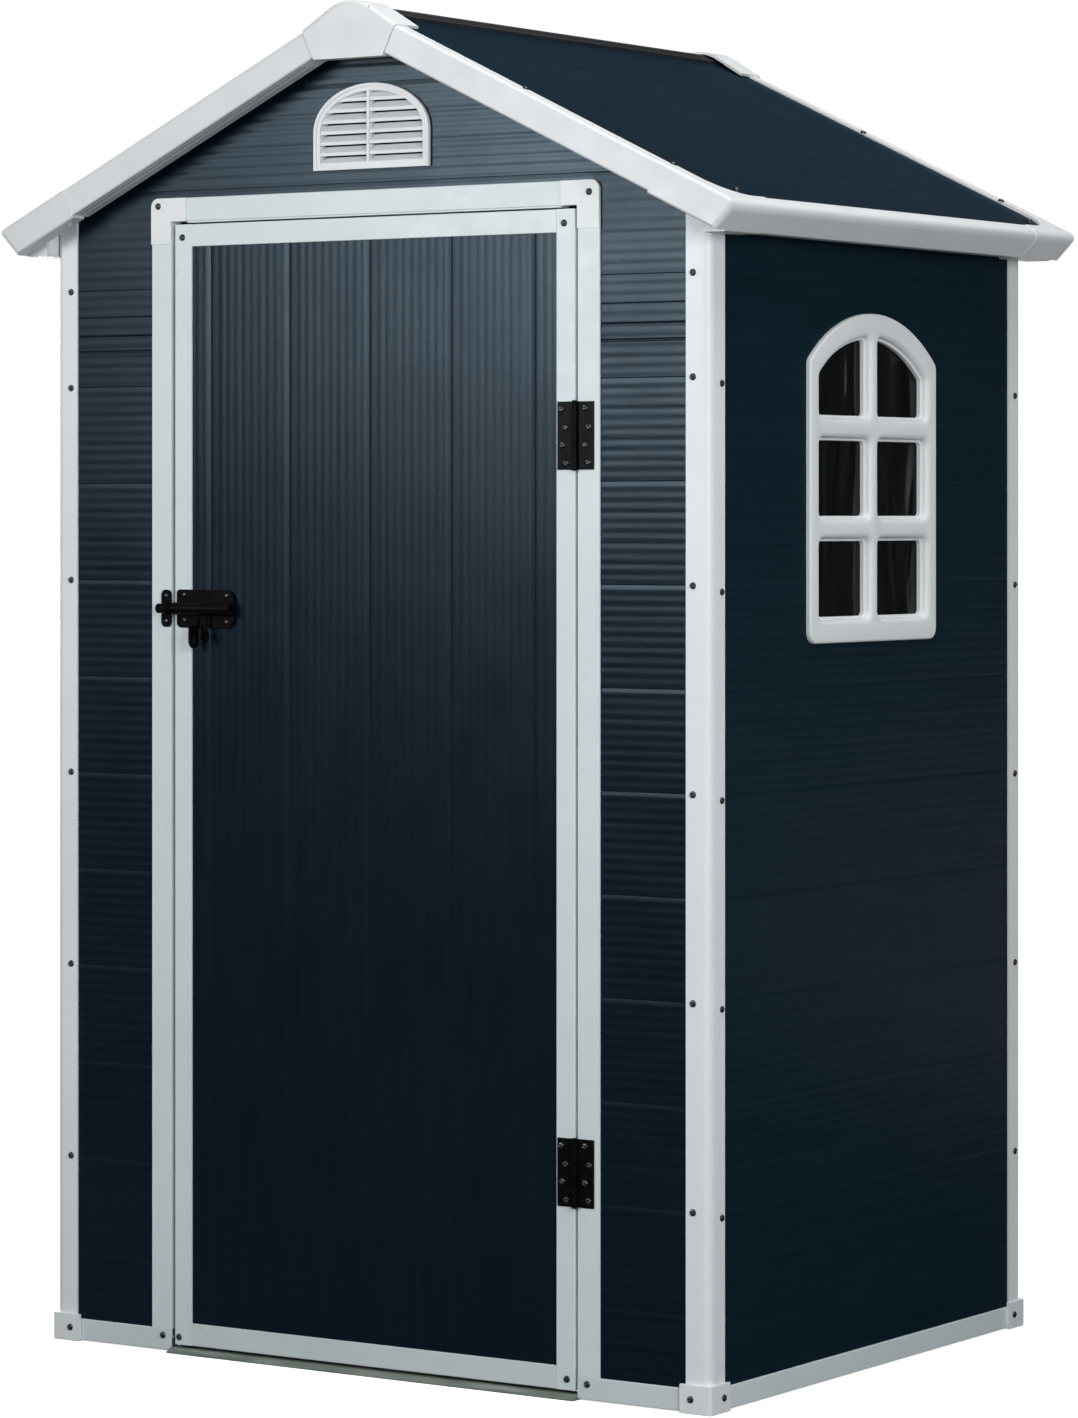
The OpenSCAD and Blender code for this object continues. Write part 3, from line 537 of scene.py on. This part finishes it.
def window_arch():
    """The window frame's box, its middle and half width, and its arch's radius and centre."""
    low, high = corners("window_frame")
    mid, half, rise = (low.y + high.y) / 2, (high.y - low.y) / 2, 0.074
    radius = (half * half + rise * rise) / (2 * rise)
    return low, high, mid, half, radius, high.z - radius


def window_outline(inset):
    """The window's outline in (y, z): a rectangle under a flat arch."""
    low, _, mid, half, radius, centre = window_arch()
    half, radius, turns = half - inset, radius - inset, 24
    turn = math.asin(half / radius)
    pts = [(mid - half, low.z + inset), (mid + half, low.z + inset)]
    for i in range(turns + 1):
        a = turn - 2 * turn * i / turns
        pts.append((mid + radius * math.sin(a), centre + radius * math.cos(a)))
    return pts


def wall(node, axis, out, material, holes=(), **look):
    """Ribbed boards in place of a wall whose outer face looks along out on the axis, with the
    holes cut, and cut off under the roof."""
    low, high = corners(node)
    face = high[axis] if out > 0 else low[axis]
    length = 1 - axis    # the wall's other level axis

    def place(s, depth, t):
        point = Vector((0, 0, t))
        point[axis], point[length] = face - out * depth, s
        return point

    bm = ribbed(low.z, high.z, low[length], high[length], JOINT_Z, high[axis] - low[axis],
                place, **look)
    for hole in holes:
        bm = boolean(bm, hole, "DIFFERENCE")
    if high.z > eave_z - 0.03:
        bm = boolean(bm, under_roof(), "INTERSECT")
    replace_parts(make(node + "_ribs", bm, MAT[material], "shed"), node)


wall("front_wall_left", 1, -1, "gable", step=0.023, grooves=WALL_GROOVES)
wall("front_wall_right", 1, -1, "wall", step=0.023, grooves=WALL_GROOVES)

# the gable, round its vent and above the two front walls
low, high = corners("front_gable")
seam_low, seam_high = corners("front_wall_right")
gable_holes = [vent_outline(0.008)]
for sx in (1, -1):
    x0, x1 = sorted((sx * seam_low.x, sx * 1.0))
    gable_holes.append(rect(x0, low.z - 0.01, x1, seam_high.z))
wall("front_gable", 1, -1, "gable", rib=0.0004,
     holes=[prism(points, 1, low.y - CUT, high.y + CUT) for points in gable_holes])

wall("back_wall", 1, 1, "wall", step=0.06)

WINDOW_CUT = 0.024    # from the window frame's edge to the hole in the wall
low, high = corners("right_wall")
wall("left_wall", 0, -1, "side", step=0.04, rib=0.0001, joint=SIDE_JOINT)
wall("right_wall", 0, 1, "side", step=0.04, rib=0.0001, joint=SIDE_JOINT,
     holes=[prism(window_outline(WINDOW_CUT), 0, low.x - CUT, high.x + CUT)])


# ---------------------------------------------------------------- window frame
def rounded(core, radius):
    """The outline at a radius round a convex core, with as many points at any radius."""
    step = math.radians(12)
    pts, n = [], len(core)
    for i in range(n):
        before, here, after = core[i - 1], core[i], core[(i + 1) % n]
        a0 = math.atan2(before[0] - here[0], here[1] - before[1])
        a1 = math.atan2(here[0] - after[0], after[1] - here[1])
        turn = (a1 - a0) % (2 * math.pi)
        k = max(1, math.ceil(turn / step - 1e-6))
        for j in range(k + 1):
            a = a0 + turn * j / k
            pts.append((here[0] + radius * math.cos(a), here[1] + radius * math.sin(a)))
    return pts


def loft(rings):
    """A closed solid through rings of (level, outline), along x."""
    bm = bmesh.new()
    skin(bm, [[bm.verts.new((level, a, b)) for a, b in pts] for level, pts in rings])
    return bm


def window_body(corner, arch_z):
    """A shallow frame with a rounded rim, and the plug that fills the hole in the wall."""
    low, _, mid, half, arch, _ = window_arch()
    wall_face = corners("right_wall")[1].x
    core = [(mid - half + corner, low.z + corner), (mid + half - corner, low.z + corner)]
    for i in range(25):
        y = mid + (half - corner) * (1 - i / 12)
        core.append((y, arch_z(y, arch - corner)))
    # the rim's section: how far inside the edge, and how far out from the wall
    rim = ((0.0, 0.0), (0.0, 0.0045), (0.0004, 0.0061), (0.0013, 0.0072), (0.0026, 0.0078),
           (0.0042, 0.0080))
    body = loft([(wall_face + up, rounded(core, corner - inset)) for inset, up in rim])
    plug = prism(window_outline(WINDOW_CUT), 0, low.x, wall_face + 0.002)
    return boolean(body, plug, "UNION")


def smooth_window_frame():
    """The window frame, with an opening for each pane that flares to the face in a small step
    and a hollow."""
    low, high, mid, half, arch, centre = window_arch()
    face, seat = high.x, corners("window_glass")[1].x

    def arch_z(y, radius):
        return centre + math.sqrt(radius * radius - (y - mid) ** 2)

    body = window_body(0.018, arch_z)
    margin, mullion, bar = 0.0325, 0.0320, 0.0375    # widths of the frame's members at the glass
    sill, head = 0.039, 0.0385    # from the frame's edges to the lowest and highest panes
    pane_h, r = 0.112, 0.0075     # a pane's height and its corners' radius
    # an opening's section: how far outside the pane, and how deep as a part of the frame
    cove = ((0.0, 1.05), (0.0, 0.66), (0.0006, 0.615), (0.0030, 0.60), (0.0037, 0.57),
            (0.0041, 0.43), (0.0049, 0.29), (0.0064, 0.16), (0.0084, 0.07), (0.0104, 0.02),
            (0.0120, -0.001), (0.0135, -0.03))
    depth = face - seat
    for side in (-1, 1):
        y0, y1 = sorted((mid + side * mullion / 2, mid + side * (half - margin)))
        for row in range(3):
            z0 = low.z + sill + row * (pane_h + bar)
            core = [(y0 + r, z0 + r), (y1 - r, z0 + r)]
            if row < 2:
                core += [(y1 - r, z0 + pane_h - r), (y0 + r, z0 + pane_h - r)]
            else:
                for i in range(13):
                    y = y1 - r + (y0 - y1 + 2 * r) * i / 12
                    core.append((y, arch_z(y, arch - head - r)))
            cut = loft([(face - depth * down, rounded(core, r + out)) for out, down in cove])
            body = boolean(body, cut, "DIFFERENCE")
    rebate = prism(window_outline(0.030), 0, low.x - 0.01, seat)
    return boolean(body, rebate, "DIFFERENCE")


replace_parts(make("window_frame_smooth", smooth_window_frame(), MAT["trim"], "shed",
                 smooth=32), "window_frame")


# ---------------------------------------------------------------- feet
def foot(sx, sy):
    """One foot: a thin shoe round a post's corner, with wings a little wider than the post,
    on a base plate."""
    post, feet = corners("post_front_right"), corners("feet")
    wing = 0.008                 # how far the wings reach past the post
    r, post_r = 0.0055, 0.014    # radius of the shoe's and of the post's corner
    edge = 0.0007                # bevel
    inset = 0.002                # of the base plate inside the shoe's outer faces
    out_x, out_y, top = feet[1].x, feet[1].y, feet[1].z
    face_x, face_y = post[1].x + 0.0001, -post[0].y + 0.0001
    in_x, in_y = post[0].x, -post[1].y
    arc = [(math.cos(math.radians(a)), math.sin(math.radians(a))) for a in range(0, 91, 10)]

    def slab(pts, levels):
        """A solid over an outline whose points carry the direction of its bevel."""
        bm = bmesh.new()
        skin(bm, [[bm.verts.new((sx * (x - k * nx), sy * (y - k * ny), z))
                   for x, y, nx, ny in pts] for z, k in levels])
        return bm

    shell = [(out_x, in_y - wing, 1, -1)]
    shell += [(out_x - r + r * c, out_y - r + r * s, c, s) for c, s in arc]
    shell += [(in_x - wing, out_y, -1, 1), (in_x - wing, face_y, -1, 0)]
    shell += [(face_x - post_r + post_r * c, face_y - post_r + post_r * s, 0, 0)
              for c, s in arc[::-1]]
    shell += [(face_x, in_y - wing, 0, -1)]
    shoe = slab(shell, ((0.0, edge), (edge, 0.0), (top - edge, 0.0), (top, edge)))
    plate = slab([(in_x, in_y, 0, 0), (out_x - inset, in_y, 0, 0),
                  (out_x - inset, out_y - post_r, 0, 0), (out_x - post_r, out_y - inset, 0, 0),
                  (in_x, out_y - inset, 0, 0)], ((0.0003, 0.0), (0.0039, 0.0)))
    return boolean(shoe, plate, "UNION")


for i, (sx, sy) in enumerate(PLAN):
    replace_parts(make("foot_shoe_%d" % (i + 1), foot(sx, sy), MAT["trim"], "shed",
                     smooth=30), "feet")


# ---------------------------------------------------------------- stop, covers and grooves
# A thin stop under the door header leaves a narrow line above the door.
low, high = corners("door_header")
stop_back, stop_drop, stop_in = 0.0022, 0.0024, 0.0006
make("door_header_stop",
     prism(rect(low.y + stop_back, low.z - stop_drop, high.y, low.z + stop_in), 0,
           low.x + 0.0005, high.x - 0.0005), MAT["frame"], "shed")

# The corner caps' boxes are closed towards the posts.
cap_low = corners("roof_corners_front")[0]
post_low, post_high = corners("post_front_right")
panel_low, panel_high = corners("roof_panel_right")
cap_out, strip_d = 0.0012, 0.028    # a cap stands out from the barge board; its strip's depth
cover_t, cover_gap, cover_lap = 0.0015, 0.0002, 0.012    # a cover lies along the post's side
cover_front = cap_low.y + cap_out + strip_d + 0.0032     # in the cap's front wall
cover_low = cap_low.z + 0.0032                           # in its underside
cover_high = panel_low.z + (panel_high.x - post_high.x) * SLOPE - 0.006
for i, (sx, sy) in enumerate(PLAN):
    ends = sorted((sx * (post_high.x + cover_gap), sx * (post_high.x + cover_gap + cover_t)))
    make("eave_end_cover_%d" % (i + 1),
         prism(rect(-sy * cover_front, cover_low, -sy * (post_low.y + cover_lap), cover_high),
               0, *ends), MAT["trim"], "shed")

# The barge boards' undersides get thin dark grey strips along the drawn grooves: painted shade in
# the grooves.
low, high = corners("barge_boards_front")
groove_x0 = corners("apex_cap_front")[1].x + 0.004
barge_h = 0.0445                              # a board's depth, square to the slope
end_x = high.x - barge_h * math.sin(PITCH)    # the underside's lower end
groove_half, groove_out, groove_in = 0.0009, 0.0002, 0.0004
bm = bmesh.new()
for sx, sy in ((-1, -1), (-1, 1), (1, -1), (1, 1)):
    for across in (0.004, 0.015, 0.0275, 0.0335):    # from the board's face
        y = sy * (low.y + across)
        skin(bm, [[bm.verts.new((sx * x, y + k * groove_half,
                                 low.z + (end_x - x) * SLOPE + d))
                   for k, d in ((-1, groove_out), (1, groove_out), (1, -groove_in),
                                (-1, -groove_in))]
                  for x in (groove_x0, end_x - 0.006)])
make("barge_groove_painted_shade", bm, MAT["groove"], "shed")


# ---------------------------------------------------------------- door panel
low, high = corners("door_panel")
bm = ribbed(low.x, high.x, low.z, high.z, DOOR_JOINT, high.y - low.y,
            lambda s, depth, t: (t, low.y + depth, s), step=0.045, rib=0.00017, joint=DOOR_LAP)
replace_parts(make("door_panel_ribs", bm, MAT["door"], "door"), "door_panel")


# ---------------------------------------------------------------- screws
TO_FRONT = (0, -1, 0)


def screw_head(bm, centre, normal, turn, radius, height):
    """A domed screw head with a cross recess."""
    normal = Vector(normal).normalized()
    basis = normal.to_track_quat("Z", "Y").to_matrix() @ Matrix.Rotation(turn, 3, "Z")
    centre = Vector(centre)
    rings, segs, skirt_h = 7, 24, 0.0006
    recess_end, recess_half = 0.62, 0.17    # parts of the radius
    middle = bm.verts.new(centre + basis @ Vector((0, 0, height * 0.25)))
    inner = None
    for i in range(1, rings + 1):
        r = radius * i / rings
        ring = []
        for k in range(segs):
            a = 2 * math.pi * k / segs
            x, y = r * math.cos(a), r * math.sin(a)
            z = height * math.sqrt(max(0.0, 1.0 - (i / rings) ** 2))
            if r < radius * recess_end and min(abs(x), abs(y)) < radius * recess_half:
                z -= height * 0.4 * (1 - r / (radius * 0.75))
            ring.append(bm.verts.new(centre + basis @ Vector((x, y, z))))
        for k in range(segs):
            j = (k + 1) % segs
            if inner is None:
                bm.faces.new((middle, ring[k], ring[j]))
            else:
                bm.faces.new((inner[k], ring[k], ring[j], inner[j]))
        inner = ring
    skirt = [bm.verts.new(v.co - normal * skirt_h) for v in inner]
    for k in range(segs):
        j = (k + 1) % segs
        bm.faces.new((inner[k], skirt[k], skirt[j], inner[j]))
    bm.faces.new(skirt[::-1])


def screws(name, body, places, radius=0.0053, height=0.0034):
    """One piece of screw heads, each given as (centre, outward normal)."""
    bm = bmesh.new()
    for i, (centre, normal) in enumerate(places):
        screw_head(bm, centre, normal, 0.7 * i, radius, height)
    make(name, bm, MAT["screw"], body, smooth=60)


# on the posts at the joints between boards, on the feet, and on the front base rails
front, back, half_w = post_low.y, -post_low.y, post_high.x
foot_high = corners("feet")[1]
post_x = 0.571                                # screws in the posts' front and back faces
side_ys = (front + 0.0315, back - 0.021)      # and in their side faces
foot_x, foot_y, rail_x = 0.5695, back - 0.0305, 0.390
joint_zs = [JOINT_Z + i * BOARD for i in (1, 3, 5, 7, 9, 10)]
places = []
for sx in (-1, 1):
    for z in joint_zs:
        places.append(((sx * post_x, front, z), TO_FRONT))
        places.append(((sx * post_x, back, z), (0, 1, 0)))
    for z in joint_zs[:5]:
        for y in side_ys:
            places.append(((sx * half_w, y, z - 0.009), (sx, 0, 0)))
    for sy in (-1, 1):
        places.append(((sx * foot_x, sy * foot_high.y, 0.021), (0, sy, 0)))
        places.append(((sx * foot_high.x, sy * foot_y, 0.0215), (sx, 0, 0)))
    places.append(((sx * rail_x, front, 0.0245), TO_FRONT))
# and on the door frame's upper corners
low, high = corners("door_frame_corners")
places.append(((-0.3978, low.y, high.z - 0.012), TO_FRONT))
places.append(((0.3945, low.y, high.z - 0.0175), TO_FRONT))
screws("shed_screws", "shed", places)

# near the corners of the door's edging
stile_y = corners("door_stile_right")[0].y
screws("door_screws", "door",
       [((x, stile_y, z), TO_FRONT) for x, z in
        ((-0.3521, 1.7060), (0.3500, 1.7055), (-0.3583, 0.0245), (0.3549, 0.0287))])

# on the roof, at the inner edges of the trims' flanges; each as its x, its y from the barge
# board's face, and how far it is lifted off the roof line
ridge_z = corners("apex_cap_front")[1].z - 0.002
barge_y = front - 0.051
places = []
for sx in (-1, 1):
    normal = (sx * math.sin(PITCH), 0, math.cos(PITCH))
    for sy in (-1, 1):
        for x, y, lift in ((0.298, 0.0285, 0.0), (0.552, 0.0285, 0.0012), (0.629, 0.076, 0.0012)):
            z = ridge_z - x * SLOPE + lift / math.cos(PITCH)
            places.append(((sx * x, sy * -(barge_y + y), z), normal))
screws("roof_screws", "shed", places)

# on the hinges' leaves, in a zigzag: how far across a leaf, and how far up
HINGE_H, LEAF_W = 0.099, 0.0315
pin_x = corners("hinge_frame_leaves")[0].x + 0.004
for node, body, side, inset, rows in (
        ("hinge_frame_leaves", "shed", 1, 0.0015,
         ((0.52, 0.93), (0.75, 0.655), (0.53, 0.39), (0.71, 0.135))),
        ("hinge_door_leaves", "door", -1, 0.0,
         ((0.80, 0.915), (0.55, 0.645), (0.72, 0.39), (0.50, 0.125)))):
    low, high = corners(node)
    places = [((pin_x + side * across * LEAF_W, high.y - 0.0018, base + up * HINGE_H - 0.003),
               TO_FRONT)
              for base in (high.z - inset - HINGE_H, low.z + inset) for across, up in rows]
    screws(node + "_screws", body, places, radius=0.0056, height=0.0032)

# on the bolt's plate and keeper
plate_x = corners("bolt_plate")[0].x
low, high = corners("bolt_keeper")
keeper_x = (low.x + high.x) / 2
plate_y, bolt_z = front - 0.0025, 1.139
for name, body, spots in (
        ("bolt_plate_screws", "door",
         ((plate_x + 0.0148, 0.0215), (plate_x + 0.0957, 0.0200),
          (plate_x + 0.0153, -0.0175), (plate_x + 0.0957, -0.0200))),
        ("bolt_keeper_screws", "shed", ((keeper_x, 0.0195), (keeper_x, -0.0195)))):
    screws(name, body, [((x, plate_y, bolt_z + up), TO_FRONT) for x, up in spots],
           radius=0.0036, height=0.0016)


# ---------------------------------------------------------------- floor, light and world
VIEW = camera.rotation_euler.to_matrix() @ Vector((0, 0, -1))    # the photo's line of sight


def floor():
    """A pale floor that keeps the shed's shadow and fades to plain white away from it. It shows
    pale to the camera, and to reflections behind the shed; other light meets a dim floor."""
    lift = 0.7    # white added to what is seen
    bm = bmesh.new()
    bmesh.ops.create_grid(bm, x_segments=8, y_segments=8, size=14.0)
    mesh = bpy.data.meshes.new("floor")
    bm.to_mesh(mesh)
    bm.free()
    obj = bpy.data.objects.new("floor", mesh)
    bpy.context.scene.collection.objects.link(obj)
    m = Mat("floor_paper", roughness=0.9, specular=0.0)
    pale = m.ramp(m.noise(0.6, detail=3.0), (0.3, (0.88, 0.88, 0.88)), (0.7, (0.90, 0.90, 0.90)))
    ray = m.node("ShaderNodeLightPath").outputs
    place = m.node("ShaderNodeTexCoord").outputs["Object"]
    length = m.node("ShaderNodeVectorMath", operation="LENGTH")
    m.link(place, length.inputs[0])
    far = m.smoothstep(length.outputs["Value"], 0.9, 2.4)
    behind = m.smoothstep(m.along(place, VIEW), 1.0, 3.0)
    glossy = m.maths("MAXIMUM", ray["Is Glossy Ray"], ray["Is Transmission Ray"])
    shown = m.maths("MAXIMUM", ray["Is Camera Ray"], m.maths("MULTIPLY", glossy, behind))
    m.colour(m.mix(shown, (0.14, 0.145, 0.15), pale))
    added = m.node("ShaderNodeEmission")
    m.link(m.maths("MULTIPLY", shown, lift), added.inputs["Strength"])
    lifted = m.node("ShaderNodeAddShader")
    m.link(m.bsdf.outputs[0], lifted.inputs[0])
    m.link(added.outputs[0], lifted.inputs[1])
    final = m.node("ShaderNodeMixShader")
    m.link(m.maths("MULTIPLY", shown, far), final.inputs["Fac"])
    m.link(lifted.outputs[0], final.inputs[1])
    m.link(m.node("ShaderNodeEmission").outputs[0], final.inputs[2])
    m.link(final.outputs[0], m.t.nodes["Material Output"].inputs["Surface"])
    mesh.materials.append(m.m)


def area(name, place, target, size, power, colour=(1, 1, 1), spread=180.0):
    data = bpy.data.lights.new(name, "AREA")
    data.shape = "RECTANGLE"
    data.size, data.size_y = size
    data.energy = power
    data.color = colour
    data.spread = math.radians(spread)
    obj = bpy.data.objects.new(name, data)
    obj.location = place
    obj.rotation_euler = (Vector(target) - Vector(place)).to_track_quat("-Z", "Y").to_euler()
    bpy.context.scene.collection.objects.link(obj)


def studio():
    """A dim studio with a white backdrop behind the shed: the camera sees white everywhere, and
    reflections and clear sheets see it where it stands."""
    world = bpy.data.worlds.new("studio")
    bpy.context.scene.world = world
    world.use_nodes = True
    world.node_tree.nodes.clear()
    w = Tree(world.node_tree)
    dim, white = w.node("ShaderNodeBackground"), w.node("ShaderNodeBackground")
    dim.inputs["Color"].default_value = (0.80, 0.95, 1.0, 1.0)
    dim.inputs["Strength"].default_value = 0.16
    white.inputs["Color"].default_value = (1, 1, 1, 1)
    ray = w.node("ShaderNodeLightPath").outputs
    towards = w.along(w.node("ShaderNodeTexCoord").outputs["Generated"], VIEW)
    backdrop = w.smoothstep(towards, math.cos(math.radians(16)), math.cos(math.radians(10)))
    glossy = w.maths("MAXIMUM", ray["Is Glossy Ray"], ray["Is Transmission Ray"])
    shown = w.maths("MAXIMUM", ray["Is Camera Ray"], w.maths("MULTIPLY", glossy, backdrop))
    mix = w.node("ShaderNodeMixShader")
    w.link(shown, mix.inputs["Fac"])
    w.link(dim.outputs[0], mix.inputs[1])
    w.link(white.outputs[0], mix.inputs[2])
    w.link(mix.outputs[0], w.node("ShaderNodeOutputWorld").inputs["Surface"])


floor()
# the key is a softbox with a hotter middle
KEY_TARGET, KEY_COLOUR = (0.6, -0.46, 1.5), (0.98, 0.99, 1.0)
area("key", (-1.6, -3.98, 2.2), KEY_TARGET, (2.2, 1.3), 25.0, KEY_COLOUR, 120.0)
area("key_core", (-1.58, -3.95, 2.2), KEY_TARGET, (0.45, 1.2), 12.0, KEY_COLOUR, 120.0)
area("fill", (3.9, -2.8, 2.0), (0.3, 0.0, 0.7), (2.0, 2.0), 119.0, (0.97, 0.99, 1.0))
area("top", (0.9, -0.1, 3.9), (0.3, 0.0, 1.8), (1.8, 1.8), 56.0)
area("back", (-4.1, 2.5, 1.9), (-0.2, 0.2, 1.0), (2.0, 2.0), 150.0)
studio()

bpy.context.scene.view_settings.view_transform = "Standard"
